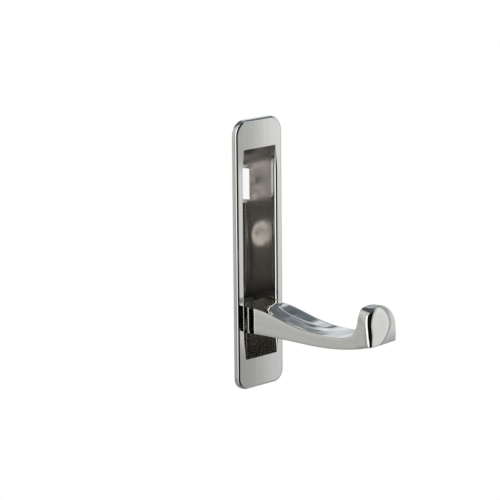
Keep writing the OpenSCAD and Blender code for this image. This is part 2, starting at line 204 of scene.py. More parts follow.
def makeChrome(name, axis):
    # Bright chrome plating on buffed die-cast zinc. Buffing leaves faint streaks along the long
    # way of the piece and a very slight unevenness, which soften what it mirrors. Real buffing
    # lines are too fine to show, so the streaks are drawn coarser.
    look = chromeLook
    start, end = look["hazeSpan"]
    hazeFrom, hazeTo = (look["roughness"] * share for share in look["haze"])
    material, tree = newMaterial(name)
    place = addNode(tree, "ShaderNodeTexCoord").outputs["Object"]
    sizes = [look["streakLength"] if k == axis else look["streakWidth"] for k in "xyz"]
    stretched = addNode(tree, "ShaderNodeMapping", {
        "Vector": place, "Scale": [1 / size / mm for size in sizes]})
    streaks = addNode(tree, "ShaderNodeTexNoise", {
        "Vector": stretched.outputs["Vector"], "Scale": 1.0, "Detail": 3.0, "Roughness": 0.6})
    waves = addNode(tree, "ShaderNodeTexNoise", {
        "Vector": place, "Scale": 1 / look["waveSize"] / mm, "Detail": 1.0})
    streakBump = addNode(tree, "ShaderNodeBump", {
        "Height": streaks.outputs["Fac"], "Distance": look["streakBump"] * mm})
    waveBump = addNode(tree, "ShaderNodeBump", {
        "Height": waves.outputs["Fac"], "Distance": look["waveBump"] * mm,
        "Normal": streakBump.outputs["Normal"]})
    haze = addNode(tree, "ShaderNodeMapRange", {
        "Value": streaks.outputs["Fac"], "From Min": start, "From Max": end,
        "To Min": hazeFrom, "To Max": hazeTo})
    tone = addNode(tree, "ShaderNodeValToRGB", {"Fac": streaks.outputs["Fac"]})
    setRamp(tone, list(zip(look["toneSpan"], (look["dark"], look["light"]))))
    shader = addNode(tree, "ShaderNodeBsdfPrincipled", {
        "Base Color": tone.outputs["Color"], "Metallic": 1.0,
        "Roughness": haze.outputs["Result"], "Normal": waveBump.outputs["Normal"]})
    closeMaterial(tree, shader.outputs["BSDF"])
    return material


zincLook = {
    "satin": {"dark": "#b2aea9", "light": "#c2beb9", "roughness": 0.24, "metal": 0.98,
              "grainBump": 0.001, "patch": 5},
    "blasted": {"dark": "#7d7b78", "light": "#dedbd7", "roughness": 0.42, "metal": 0.5,
                "grainBump": 0.01, "patch": 2.6},
    "faced": {"dark": "#cfccc6", "light": "#e2dfda", "roughness": 0.45, "metal": 0.3,
              "grainBump": 0.01, "patch": 5},
    # the same on all three
    "grain": 0.35, "span": (0.3, 0.7), "haze": (1.15, 0.85),
}


def makeZinc(name, kind):
    # Die-cast zinc with a thin, warm nickel plate. The satin skin is a soft mirror as it comes
    # from the polished mould; the blasted skin has a matt, cloudy grain, and the spot-faced lower
    # screw seat is the palest. The grain is drawn coarser than real blasting grit.
    look = zincLook[kind]
    start, end = zincLook["span"]
    hazeFrom, hazeTo = (look["roughness"] * share for share in zincLook["haze"])
    material, tree = newMaterial(name)
    place = addNode(tree, "ShaderNodeTexCoord").outputs["Object"]
    grain = addNode(tree, "ShaderNodeTexNoise", {
        "Vector": place, "Scale": 1 / zincLook["grain"] / mm, "Detail": 2.0})
    patches = addNode(tree, "ShaderNodeTexNoise", {
        "Vector": place, "Scale": 1 / look["patch"] / mm, "Detail": 3.0, "Roughness": 0.55})
    tone = addNode(tree, "ShaderNodeValToRGB", {"Fac": patches.outputs["Fac"]})
    setRamp(tone, [(start, look["dark"]), (end, look["light"])])
    haze = addNode(tree, "ShaderNodeMapRange", {
        "Value": patches.outputs["Fac"], "From Min": start, "From Max": end,
        "To Min": hazeFrom, "To Max": hazeTo})
    bump = addNode(tree, "ShaderNodeBump", {
        "Height": grain.outputs["Fac"], "Distance": look["grainBump"] * mm})
    shader = addNode(tree, "ShaderNodeBsdfPrincipled", {
        "Base Color": tone.outputs["Color"], "Metallic": look["metal"],
        "Roughness": haze.outputs["Result"], "Normal": bump.outputs["Normal"]})
    closeMaterial(tree, shader.outputs["BSDF"])
    return material


grainedLooks = {
    # Turned steel with bright zinc plating: fine tool marks and a faint blue passivation.
    "brightZincPlatedSteel": {
        "dark": "#b9bfca", "light": "#d3d6da", "span": (0.3, 0.7), "size": 0.12, "detail": 2.0,
        "bump": 0.004, "shader": {"Metallic": 1.0, "Roughness": 0.28}},
    # Moulded natural nylon at the pivot, coloured near black as painted shade: it stands in for
    # the
    #     # dark of the gap between the arm and the plate, so that its off-white hardly shows. It
    #     lets light in by under a millimetre.
    "nylonDarkAsPaintedShade": {
        "dark": "#282724", "light": "#3a3833", "span": (0.35, 0.65), "size": 2.5, "detail": 2.0,
        "bump": 0, "shader": {"Roughness": 0.36, "IOR": 1.53, "Subsurface Weight": 0.15,
                              "Subsurface Radius": (0.9 * mm, 0.8 * mm, 0.6 * mm),
                              "Subsurface Scale": 1.0}},
    # Moulded black rubber with a matt, finely grained skin that has greyed a little.
    "mattBlackRubber": {
        "dark": "#242424", "light": "#343332", "span": (0.4, 0.75), "size": 0.4, "detail": 3.0,
        "bump": 0.01, "shader": {"Roughness": 0.62, "IOR": 1.52}},
}


def makeGrained(name):
    # a finish for small pieces: one noise varies its colour and raises its skin
    look = grainedLooks[name]
    material, tree = newMaterial(name)
    place = addNode(tree, "ShaderNodeTexCoord").outputs["Object"]
    grain = addNode(tree, "ShaderNodeTexNoise", {
        "Vector": place, "Scale": 1 / look["size"] / mm, "Detail": look["detail"]})
    tone = addNode(tree, "ShaderNodeValToRGB", {"Fac": grain.outputs["Fac"]})
    setRamp(tone, list(zip(look["span"], (look["dark"], look["light"]))))
    shader = addNode(tree, "ShaderNodeBsdfPrincipled", {
        "Base Color": tone.outputs["Color"], **look["shader"]})
    if look["bump"]:
        bump = addNode(tree, "ShaderNodeBump", {
            "Height": grain.outputs["Fac"], "Distance": look["bump"] * mm})
        tree.links.new(bump.outputs["Normal"], shader.inputs["Normal"])
    closeMaterial(tree, shader.outputs["BSDF"])
    return material


plateChrome = makeChrome("polishedChromePlating", "z")
armChrome = makeChrome("polishedChromeOnArm", "y")
satinZinc = makeZinc("satinCastZinc", "satin")
blastedZinc = makeZinc("blastedCastZinc", "blasted")
facedZinc = makeZinc("spotFacedZinc", "faced")
steel = makeGrained("brightZincPlatedSteel")
# the pivot's nylon, coloured near black as painted shade of the gap between arm and plate
nylon = makeGrained("nylonDarkAsPaintedShade")
rubber = makeGrained("mattBlackRubber")
print("materials made")


# Face plate: one closed skin of loops, from the back edge over the rounded front edge, across
# the front, over the window's rolled long edges and back along the raised rim

plateShape = {
    "halfWidth": 15.5, "halfHeight": 67.0, "front": -3.3, "cornerRadii": (6.2, 7.6),
    # the outer edge: a tight arc that turns so far off the front, then a slow one to the back
    "edgeRadius": 1.2, "edgeTurn": 80.0, "sideDepth": 1.0,
    "windowHalfWidth": 10.65, "windowHalfHeight": 52.2, "windowRise": 0.4, "windowCorner": 0.35,
    # the window's rolled long edges, which die out towards its corners
    "rollAcross": 1.25, "rollDeep": 1.9, "rollEnd": 0.12, "rollFade": 12.0,
    # the front's crown, and how the left strip tilts
    "crown": 0.2, "stripTilt": 2.2, "stripFade": 14.0,
    # the raised rim on the back, with its small bevel, and the back edge's rounding
    "rimWidth": 1.3, "rimDepth": 0.3, "rimBevel": (0.05, 0.03), "wallRow": -0.9,
    "backEdge": 0.2, "backMiddle": 0.06,
    "bossRadius": 2.6, "bossBore": 1.55, "bossTop": 2.05, "bossRoot": -1.0, "bossEdge": 0.15,
    "screwSpacing": 12.4, "screwHeights": (-57.9, 58.7),
    # how finely it is drawn: points on each side, end and corner, steps over each rounding, and
    # loops across the front, with a seam where they meet the roundings
    "points": (64, 12, 14), "slowSteps": 8, "edgeSteps": 12, "rollSteps": 12, "bossSides": 32,
    "frontShares": (0.12, 0.3, 0.5, 0.7, 0.88), "seam": 0.08, "smoothAngle": 35,
}


def plateStations(halfWidth, halfHeight, radii, rise, perSide, perEnd, perCorner):
    # points round a rounded rectangle with their outward direction, anticlockwise from the
    # right; radii are those of the lower and the upper corners
    points = []
    for quarter in range(4):
        turn = quarter * math.pi / 2
        isSide = quarter % 2 == 0
        reach, span = (halfWidth, halfHeight) if isSide else (halfHeight, halfWidth)
        outward = Vector((math.cos(turn), math.sin(turn)))
        along = Vector((-math.sin(turn), math.cos(turn)))
        count = perSide if isSide else perEnd
        before, radius = radii[quarter in (1, 2)], radii[quarter in (0, 1)]
        for i in range(count):
            place = lerp(before - span, span - radius, i / count)
            points.append((outward * reach + along * place, outward.copy()))
        centre = outward * (reach - radius) + along * (span - radius)
        for i in range(perCorner):
            angle = turn + math.pi / 2 * i / perCorner
            way = Vector((math.cos(angle), math.sin(angle)))
            points.append((centre + way * radius, way))
    return [(p + Vector((0, rise)), n) for p, n in points]


def makePlate():
    s = plateShape
    outer = plateStations(s["halfWidth"], s["halfHeight"], s["cornerRadii"], 0, *s["points"])
    inner = plateStations(s["windowHalfWidth"], s["windowHalfHeight"], [s["windowCorner"]] * 2,
                          s["windowRise"], *s["points"])
    bm = bmesh.new()
    loops = []
    front, seam, tight = s["front"], s["seam"], s["edgeRadius"]
    turn = math.radians(s["edgeTurn"])
    slow = s["sideDepth"] / math.cos(turn)
    edge = slow * (1 - math.sin(turn)) + tight * math.sin(turn)
    sideFoot = front + tight * (1 - math.cos(turn)) + s["sideDepth"]

    def frontAt(x, z):
        # a slight crown across the front; the left strip falls a little towards the window
        crown = s["crown"] * (x / s["halfWidth"]) ** 2
        beside = ease((s["windowHalfHeight"] - abs(z - s["windowRise"])) / s["stripFade"])
        fall = math.tan(math.radians(s["stripTilt"])) * max(0.0, x + s["halfWidth"] - edge)
        return front + crown + (fall * beside if x < 0 else 0.0)

    def addLoop(places):
        loops.append([bm.verts.new((x * mm, y * mm, z * mm)) for x, y, z in places])

    def outerLoop(inset, depth, crowned=0.0):
        places = []
        for p, n in outer:
            q = p - n * inset
            places.append((q.x, depth + crowned * (frontAt(q.x, q.y) - front), q.y))
        addLoop(places)

    def rollAt(p, n):
        # width and depth of the window's rolled edge: on the long sides only
        share = 0.0
        if abs(n.x) >= abs(n.y):
            share = ease((s["windowHalfHeight"] - abs(p.y - s["windowRise"])) / s["rollFade"])
        return lerp(s["rollEnd"], s["rollAcross"], share), lerp(s["rollEnd"], s["rollDeep"], share)

    def windowLoop(angle, extra=0.0):
        # angle 0 is where the roll meets the front, 90 where it meets the window's wall
        a = math.radians(angle)
        places = []
        for p, n in inner:
            across, deep = rollAt(p, n)
            q = p + n * (across * (1 - math.sin(a)) + extra)
            places.append((q.x, frontAt(q.x, q.y) + deep * (1 - math.cos(a)), q.y))
        addLoop(places)

    # the rim and the back edge
    rim, back, (across, deep) = s["rimWidth"], s["backEdge"], s["rimBevel"]
    for inset, depth in ((rim, -s["rimDepth"]), (rim, -deep), (rim - across, 0), (back, 0),
                         (s["backMiddle"], -s["backMiddle"]), (0, -back)):
        outerLoop(inset, depth)
    # the side's slow arc and the front's tight one
    for i in range(s["slowSteps"] + 1):
        a = math.pi / 2 - (math.pi / 2 - turn) * i / s["slowSteps"]
        outerLoop(slow * (1 - math.sin(a)), sideFoot - slow * math.cos(a))
    for i in range(1, s["edgeSteps"] + 1):
        a = turn * (1 - i / s["edgeSteps"])
        depth = front + tight * (1 - math.cos(a))
        outerLoop(edge - tight * math.sin(a), depth, math.cos(a) ** 2)
    outerLoop(edge + seam, front, 1.0)
    # across the front, between the outer rounding and the window's roll
    for share in s["frontShares"]:
        places = []
        for (p, n), (q, m) in zip(outer, inner):
            start, end = p - n * (edge + seam), q + m * (rollAt(q, m)[0] + seam)
            at = start.lerp(end, share)
            places.append((at.x, frontAt(at.x, at.y), at.y))
        addLoop(places)
    windowLoop(0, seam)
    for i in range(s["rollSteps"] + 1):
        windowLoop(90 * i / s["rollSteps"])
    for depth in (s["wallRow"], -s["rimDepth"]):
        addLoop([(p.x, depth, p.y) for p, n in inner])
    loops.append(loops[0])
    makeStrip(bm, [loop + loop[:1] for loop in loops])
    # the four screw bosses on the back
    wide, narrow, top, soft = s["bossRadius"], s["bossBore"], s["bossTop"], s["bossEdge"]
    profile = ((wide, s["bossRoot"]), (wide, top - soft), (wide - soft, top),
               (narrow + soft, top), (narrow, top - soft), (narrow, s["bossRoot"]))
    for side in (-1, 1):
        for z in s["screwHeights"]:
            tube = turned(bm, profile, s["bossSides"], side * s["screwSpacing"] / 2, z)
            makeStrip(bm, tube + tube[:1])
    bmesh.ops.recalc_face_normals(bm, faces=bm.faces)
    plate = meshObject("facePlate", bm, plateChrome, "housing")
    smoothEdges(plate, s["smoothAngle"])
    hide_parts("face_plate")


makePlate()
print("face plate made")


# Hook arm: half sections from the spine of the outer face round to the spine of the inner face,
# set along the left side, over the prong's round top and back along the right side. In its side
# view a place is (distance out from the pivot, height above it).

armShape = {
    "pivotY": 0.9, "pivotZ": -34.8, "halfWidth": 9.55,
    # the nose is a drum about the pivot, and the knuckle's round ends in the tail's flat
    "reach": 86.5, "knuckle": 10.2, "tailTop": 3.85, "prongTop": 22.3, "prongThick": 7.8,
    # control points of the under side, the upper side and the prong's inner side
    "underCurve": ((88.5, 4.7), (72.66, 0.3), (60.55, -1.6), (44.115, -1.9),
                   (28.545, -2.3), (13.84, -2.45), (0, -4.15)),
    "upperCurve": ((6, 9.6), (20, 10.3), (30, 4.7), (48, 4.45),
                   (58, 4.45), (66.97, 4.6), (73, 7.5)),
    "innerCurve": ((73, 7.5), (77.56, 9.79), (78.41, 15.12), (78.7, 19.25)),
    # the section's edges: its rim, the trough's lip and the trough's crease
    "edgeRadius": 0.35, "rim": 0.9, "rimRadius": 0.16, "crease": 3.9, "creaseRadius": 0.7,
    "flatRadius": 1.2, "creaseFull": 0.25, "dish": 0.2, "dishFull": 0.6,
    "troughDepth": 2.1, "troughLift": 0.3, "troughPower": 1.25,
    "troughStart": 4.6, "troughDeep": 22.0, "troughEnd": 65.7,
    # the nose's edges and rolled margins: (height, width) pairs, their slope and how softly
    # they start; all of this fades in over a length of the nose
    "noseEdge": {"left": 1.9, "right": 0.5}, "noseCorner": 0.35,
    "noseFrom": 76.0, "noseFade": 8.0,
    "leftMargin": ((4.1, -0.8), (6.4, 0.5), (9.1, 1.4), (12.0, 1.3), (17.6, 1.0),
                   (21.5, 0.2), (23.3, -0.5)),
    "rightMargin": ((4.1, 10.2), (5.2, 8.6), (6.7, 6.8), (8.7, 4.9), (10.7, 3.6),
                    (13.0, 2.7), (17.5, 1.9), (23.3, 0.0)),
    "leftSlope": 17.0, "rightSlope": 5.8, "leftSoft": 1.5, "rightSoft": 4.0,
    # the prong's top has a squarer shoulder at the back of its left side; the right side's
    # margin and edge give way to the left side's over shares of the half turn
    "backDrop": {"left": -0.4, "right": 0.6}, "backSquare": {"left": 3.7, "right": 2.2},
    "marginShift": 0.5, "edgeShift": (0.5, 0.8),
    # where the rows of points start and end along the tail, the arm and the knee
    "tailFrom": -16.25, "tailTo": -3.6, "armFrom": -3.45, "kneeFrom": 66.0, "kneeNext": 66.2,
    # how finely it is drawn: rows along the tail, the arm, the knee, the nose's lower corner,
    # the nose and the arch, steps in each rounding and extra points on each span of a section
    "tailRows": 18, "armRows": 90, "kneeRows": 21,
    "cornerRows": 4, "noseRows": 14, "archRows": 48, "roundSteps": 6, "spans": (22, 5, 0, 4, 6),
    "smoothAngle": 42,
}


def sampled(points, steps=40):
    # a polyline along cubic curves that join end to end
    out = []
    for k in range(0, len(points) - 1, 3):
        a, b, c, d = (Vector(p) for p in points[k:k + 4])
        for t in (i / steps for i in range(steps)):
            u = 1 - t
            out.append(a * u ** 3 + b * 3 * u * u * t + c * 3 * u * t * t + d * t ** 3)
    return out + [Vector(points[-1])]


def valueAt(line, x):
    # the second number of a polyline of pairs where its first, by which it is sorted, is x
    for a, b in zip(line, line[1:]):
        if a.x <= x <= b.x:
            return lerp(a.y, b.y, (x - a.x) / max(b.x - a.x, tiny))
    return line[0].y if x < line[0].x else line[-1].y


def bend(a, corner, b, t):
    # a point on the smooth bend from a to b round a corner
    return a * (1 - t) ** 2 + corner * 2 * t * (1 - t) + b * t * t


def rounded(corners, radii, steps, most=0.48):
    # a polyline with its inner corners rounded, always the same number of points; a rounding
    # takes at most that share of each span
    corners = [Vector(c) for c in corners]
    out = corners[:1]
    for before, here, after, radius in zip(corners, corners[1:], corners[2:], radii):
        back, on = before - here, after - here
        a = here + back.normalized() * min(radius, back.length * most)
        b = here + on.normalized() * min(radius, on.length * most)
        out += [bend(a, here, b, i / steps) for i in range(steps + 1)]
    return out + corners[-1:]


def withExtra(points, counts):
    # a polyline with so many extra points on each of its spans
    out = []
    for a, b, n in zip(points, points[1:], counts):
        out += [a.lerp(b, i / (n + 1)) for i in range(n + 1)]
    return out + points[-1:]


def makeArm():
    s = armShape
    w, reach = s["halfWidth"], s["reach"]
    under = sampled(s["underCurve"])[::-1]
    upper = sampled(s["upperCurve"])
    # the prong's inner side goes on straight to a little above its top
    above = Vector((reach - s["prongThick"], s["prongTop"] + 1))
    inside = sampled(s["innerCurve"]) + [above]
    insideByHeight = [p.yx for p in inside]
    margins = {side: [Vector(p) for p in s[side + "Margin"]] for side in ("left", "right")}

    def lowAt(u):
        return valueAt(under, u)

    def highAt(u):
        if u > s["armFrom"]:
            return valueAt(upper, u)
        return max(s["tailTop"], math.sqrt(max(0, s["knuckle"] ** 2 - u * u)))

    def noseAt(v):
        return math.sqrt(reach ** 2 - v * v)

    def troughAt(u):
        if u <= s["troughStart"] or u >= s["troughEnd"]:
            return 0.0
        if u < s["troughDeep"]:
            share = ease((u - s["troughStart"]) / (s["troughDeep"] - s["troughStart"]))
        else:
            left = (s["troughEnd"] - u) / (s["troughEnd"] - s["troughDeep"])
            share = left ** s["troughPower"]
        return max(0.0, (s["troughDepth"] + s["troughLift"]) * share - s["troughLift"])

    # pairs of places on the upper and the under side, from the tail to where the knee starts
    pairs = []

    def addPairs(start, end, count):
        for u in (lerp(start, end, i / count) for i in range(count)):
            pairs.append((Vector((u, highAt(u))), Vector((u, lowAt(u)))))

    addPairs(s["tailFrom"], s["tailTo"], s["tailRows"])
    addPairs(s["armFrom"], s["kneeFrom"], s["armRows"])
    # the outer line on from there: under the bend, round the nose's lower corner, up the drum
    springV = s["prongTop"] - w
    cornerU = reach
    for _ in range(8):  # it settles in a few rounds
        cornerU = noseAt(lowAt(cornerU))
    corner = Vector((cornerU, lowAt(cornerU)))
    outerLine = []
    for i in range(s["kneeRows"] + 1):
        u = lerp(s["kneeFrom"], corner.x - s["noseCorner"], i / s["kneeRows"])
        outerLine.append(Vector((u, lowAt(u))))
    cornerFrom, cornerV = outerLine[-1], corner.y + s["noseCorner"]
    cornerTo = Vector((noseAt(cornerV), cornerV))
    for i in range(1, s["cornerRows"] + 1):
        outerLine.append(bend(cornerFrom, corner, cornerTo, i / s["cornerRows"]))
    for i in range(1, s["noseRows"] + 1):
        v = lerp(cornerTo.y, springV, i / s["noseRows"])
        outerLine.append(Vector((noseAt(v), v)))
    # the inner line beside it, up to where the prong's round top springs
    knee = [Vector((s["kneeFrom"], highAt(s["kneeFrom"])))]
    knee += [p for p in upper if p.x > s["kneeNext"]] + inside[1:]
    lengths = [0.0]
    for a, b in zip(knee, knee[1:]):
        lengths.append(lengths[-1] + (b - a).length)
    stretches = list(zip(knee, knee[1:], lengths, lengths[1:]))
    springLength = next(start + (springV - a.y) / (b.y - a.y) * (b - a).length
                        for a, b, start, end in stretches if a.y <= springV <= b.y)
    for i, out in enumerate(outerLine):
        target = springLength * i / (len(outerLine) - 1)
        a, b, start, end = next(part for part in stretches if target <= part[3])
        pairs.append((a.lerp(b, (target - start) / max(end - start, tiny)), out))

    def halfSection(depth, dish, thick, outer):
        # (across, height from the outer face) from the outer spine to the inner spine
        floor = thick - depth
        corners = [(0, 0), (w, 0), (w, thick), (w - s["rim"], thick), (s["crease"], floor),
                   (0, floor - dish)]
        crease = lerp(s["flatRadius"], s["creaseRadius"], min(1.0, depth / s["creaseFull"]))
        radii = [outer, s["edgeRadius"], s["rimRadius"], crease]
        counts = [n for span in s["spans"] for n in [span] + [0] * s["roundSteps"]]
        return withExtra(rounded(corners, radii, s["roundSteps"]), counts)

    bm = bmesh.new()

    def place(x, u, v):
        return bm.verts.new((x * mm, (s["pivotY"] - u) * mm, (s["pivotZ"] + v) * mm))

    def noseRoll(sides, v, h, thick):
        # how far the nose's rolled margins fall back, on slopes that start softly; each side
        # comes with the distance to its edge and its share
        fall = 0.0
        for side, toEdge, share in sides:
            width, soft = valueAt(margins[side], v), s[side + "Soft"]
            t = min(1.0, max(0.0, (toEdge - width) / soft))
            run = max(0.0, width - toEdge) + soft * (0.5 - t + t ** 3 - t ** 4 / 2)
            fall += share * math.tan(math.radians(s[side + "Slope"])) * run
        return fall * max(0.0, 1 - 2 * h / thick)

    def straightRow(top, out, sign):
        thick = (top - out).length
        depth = troughAt(top.x)
        dish = s["dish"] * min(1.0, depth / s["dishFull"])
        nose = ease((out.x - s["noseFrom"]) / s["noseFade"])
        noseEdge = s["noseEdge"]["left" if sign < 0 else "right"]
        row = []
        for p in halfSection(depth, dish, thick, lerp(s["edgeRadius"], noseEdge, nose)):
            at = out.lerp(top, p.y / thick)
            u = at.x
            if nose > 0:
                sides = (("left", w + sign * p.x, 1.0), ("right", w - sign * p.x, 1.0))
                u -= noseRoll(sides, at.y, p.y, thick) * nose
            row.append(place(sign * p.x, u, at.y))
        return row

    def archRow(angle):
        thick = s["prongThick"]
        edge = springV + w * math.sin(angle)
        right = ease(math.cos(angle) + s["marginShift"])
        lean = ease(0.5 - 0.5 * math.cos(angle))
        square, drop = (lerp(s[key]["right"], s[key]["left"], lean)
                        for key in ("backSquare", "backDrop"))
        start, end = s["edgeShift"]
        edgeShare = ease((angle / math.pi - start) / (end - start))
        outer = lerp(s["noseEdge"]["right"], s["noseEdge"]["left"], edgeShare)
        back = ((abs(math.cos(angle)) / w) ** square
                + (math.sin(angle) / (w - drop)) ** square) ** (-1 / square)
        row = []
        for p in halfSection(0.0, 0.0, thick, outer):
            reachOut = p.x * lerp(1.0, back / w, p.y / thick)
            x, v = reachOut * math.cos(angle), springV + reachOut * math.sin(angle)
            u = lerp(noseAt(v), valueAt(insideByHeight, v), p.y / thick)
            sides = (("left", w - p.x, 1 - right), ("right", w - p.x, right))
            row.append(place(x, u - noseRoll(sides, edge, p.y, thick), v))
        return row

    rows = [straightRow(a, b, -1) for a, b in pairs]
    rows += [archRow(math.pi * (1 - i / s["archRows"])) for i in range(1, s["archRows"])]
    rows += [straightRow(a, b, 1) for a, b in reversed(pairs)]
    makeStrip(bm, rows)
    bm.faces.new(rows[0] + rows[-1][::-1])
    bmesh.ops.remove_doubles(bm, verts=bm.verts, dist=mergeWithin * mm)
    bmesh.ops.recalc_face_normals(bm, faces=bm.faces)
    arm = meshObject("hookArm", bm, armChrome, "hook")
    smoothEdges(arm, s["smoothAngle"])
    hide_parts("hook_arm")


makeArm()
print("hook arm made")


# Pocket: the casting's own shape with its edges softened, a cloudier, matt skin where it is
# blasted, inside the well and on the upper back wall, and a paler one on the spot-faced seat

pocketShape = {
    "edge": 0.3, "edgeSegments": 2, "edgeAngle": 40, "smoothAngle": 30, "flatAngle": 0.6,
    # blasted inner faces are higher than this and deeper than that
    "blastedFrom": 21.0, "blastedDepth": 17.0, "insideHalfWidth": 10.6,
    # the lower screw seat: what is in front of its limit is the seat, the rest its countersink
    "seatHeight": 3.6, "seatLimit": 18.6, "seatRadius": 6.6, "sinkRadius": 4.8, "boreRadius": 2.4,
    # the back wall's outer face, the well's lower wall and a point that the inner faces look to
    "backFace": 20.4, "wellFrom": 39.0, "innerY": 10.0, "innerZ": 46.0,
}


def makePocket():
    s = pocketShape
    bm = bmesh.new()
    bm.from_mesh(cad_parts["pocket_shell"].data)
    bmesh.ops.remove_doubles(bm, verts=bm.verts, dist=mergeWithin * mm)
    bmesh.ops.dissolve_limit(bm, angle_limit=math.radians(s["flatAngle"]), verts=bm.verts,
                             edges=bm.edges)
    # an edge along the blasted skin's lower end
    bmesh.ops.bisect_plane(bm, geom=bm.verts[:] + bm.edges[:] + bm.faces[:], dist=1e-7,
                           plane_co=(0, 0, s["blastedFrom"] * mm), plane_no=(0, 0, 1))
    pocket = meshObject("pocketShell", bm, satinZinc, "housing")
    smoothEdges(pocket, s["smoothAngle"])
    bevel = pocket.modifiers.new("softEdges", "BEVEL")
    bevel.width = s["edge"] * mm
    bevel.segments = s["edgeSegments"]
    bevel.limit_method = "ANGLE"
    bevel.angle_limit = math.radians(s["edgeAngle"])
    bevel.harden_normals = True
    made = applyModifiers(pocket)
    made.materials.clear()
    for skin in (satinZinc, blastedZinc, facedZinc):
        made.materials.append(skin)
    blasted, faced = 1, 2
    for face in made.polygons:
        c = face.center / mm
        deep = c.y > s["backFace"]
        inner = Vector((0, s["innerY"], s["innerZ"] if deep else min(c.z, s["innerZ"])))
        inside = (abs(c.x) < s["insideHalfWidth"] and c.y > s["blastedDepth"]
                  and (c.z > s["wellFrom"] or not deep) and face.normal.dot(inner - c) > 0)
        corners = [made.vertices[i].co / mm for i in face.vertices]
        spread = max(math.hypot(p.x, p.z - s["seatHeight"]) for p in corners)
        seat = s["seatRadius"] if c.y < s["seatLimit"] else s["sinkRadius"]
        if inside and spread < seat or spread < s["boreRadius"]:
            face.material_index = faced
        elif inside and c.z > s["blastedFrom"]:
            face.material_index = blasted
    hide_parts("pocket_shell")


makePocket()
print("pocket made")


# Screws: one cross-recessed screw, set at its four places by a node tree

screwShape = {
    "shank": 1.5, "pointRadius": 1.05, "pointLength": 0.4, "tip": -1.5,
    "pitch": 0.5, "threadDepth": 0.13, "threadGap": 0.3, "neck": 0.1,
    # the washer head: the washer's edge and thickness, then a dome up to its flat top
    "headRadius": 3.3, "headHeight": 1.8, "headUnder": 2.15, "washerEdge": 0.15,
    "washerThick": 0.8, "domeInset": 1.0, "domeHeight": 0.96, "domeSteps": 8, "flatRadius": 1.32,
    # the cross recess narrows by these shares towards its bottom; its turn is in radians
    "recessHalfLength": 1.65, "recessHalfWidth": 0.4, "recessDepth": 1.0,
    "recessTaper": (0.45, 1, 0.7), "recessTurn": 0.3,
    "spacing": 12.4, "rowBottom": -57.9, "rowTop": 58.7, "sides": 40, "smoothAngle": 35,
}


def screwPattern():
    s = screwShape
    under, top = s["headUnder"], s["headUnder"] + s["headHeight"]
    profile = [(0, s["tip"]), (s["pointRadius"], s["tip"]),
               (s["shank"], s["tip"] + s["pointLength"])]
    along = s["tip"] + s["pitch"]
    while along < under - s["threadGap"]:
        profile += [(s["shank"], along), (s["shank"] - s["threadDepth"], along + s["pitch"] / 2)]
        along += s["pitch"]
    profile += [(s["shank"], under - s["neck"]), (s["shank"], under),
                (s["headRadius"] - s["washerEdge"], under),
                (s["headRadius"], under + s["washerEdge"])]
    for k in range(s["domeSteps"] + 1):
        a = math.pi / 2 * k / s["domeSteps"]
        profile.append((s["headRadius"] - s["domeInset"] * (1 - math.cos(a)),
                        under + s["washerThick"] + s["domeHeight"] * math.sin(a)))
    profile += [(s["flatRadius"], top), (0, top)]
    bm = bmesh.new()
    makeStrip(bm, turned(bm, profile, s["sides"]))
    bmesh.ops.recalc_face_normals(bm, faces=bm.faces)
    pattern = newObject("screwPattern", bm)
    cutter = bmesh.new()
    size = [2 * s[k] * mm for k in ("recessHalfLength", "recessDepth", "recessHalfWidth")]
    for turn in (0, math.pi / 2):
        bit = bmesh.ops.create_cube(cutter, size=1.0)["verts"]
        bmesh.ops.scale(cutter, verts=bit, vec=size)
        deep = [v for v in bit if v.co.y < 0]
        bmesh.ops.scale(cutter, verts=deep, vec=s["recessTaper"])
        bmesh.ops.rotate(cutter, verts=bit, cent=(0, 0, 0),
                         matrix=Matrix.Rotation(turn + s["recessTurn"], 3, "Y"))
        bmesh.ops.translate(cutter, verts=bit, vec=(0, top * mm, 0))
    recess = newObject("recessCutter", cutter)
    cut = pattern.modifiers.new("crossRecess", "BOOLEAN")
    cut.object = recess
    cut.operation = "DIFFERENCE"
    cut.solver = "EXACT"
    cut.use_self = True
    applyModifiers(pattern)
    bpy.data.objects.remove(recess)
    return pattern


def screwTree():
    # sets a screw at each corner of an upright rectangle, in its steel
    tree = bpy.data.node_groups.new("screwSetter", "GeometryNodeTree")
    panel = tree.interface
    panel.new_socket("Geometry", in_out="OUTPUT", socket_type="NodeSocketGeometry")
    sockets = {}
    for name, kind in (("Screw", "NodeSocketObject"), ("Spacing", "NodeSocketFloat"),
                       ("Row Distance", "NodeSocketFloat"), ("Middle", "NodeSocketVector")):
        sockets[name] = panel.new_socket(name, in_out="INPUT", socket_type=kind).identifier
    given = addNode(tree, "NodeGroupInput")
    grid = addNode(tree, "GeometryNodeMeshGrid", {
        "Size X": given.outputs["Spacing"], "Size Y": given.outputs["Row Distance"],
        "Vertices X": 2, "Vertices Y": 2})
    stood = addNode(tree, "GeometryNodeTransform", {
        "Geometry": grid.outputs["Mesh"], "Translation": given.outputs["Middle"],
        "Rotation": (math.pi / 2, 0, 0)})
    shape = addNode(tree, "GeometryNodeObjectInfo", {"Object": given.outputs["Screw"]})
    place = addNode(tree, "GeometryNodeInstanceOnPoints", {
        "Points": stood.outputs["Geometry"], "Instance": shape.outputs["Geometry"]})
    real = addNode(tree, "GeometryNodeRealizeInstances", {"Geometry": place.outputs["Instances"]})
    coat = addNode(tree, "GeometryNodeSetMaterial", {
        "Geometry": real.outputs["Geometry"], "Material": steel})
    out = addNode(tree, "NodeGroupOutput")
    tree.links.new(coat.outputs["Geometry"], out.inputs["Geometry"])
    return tree, sockets


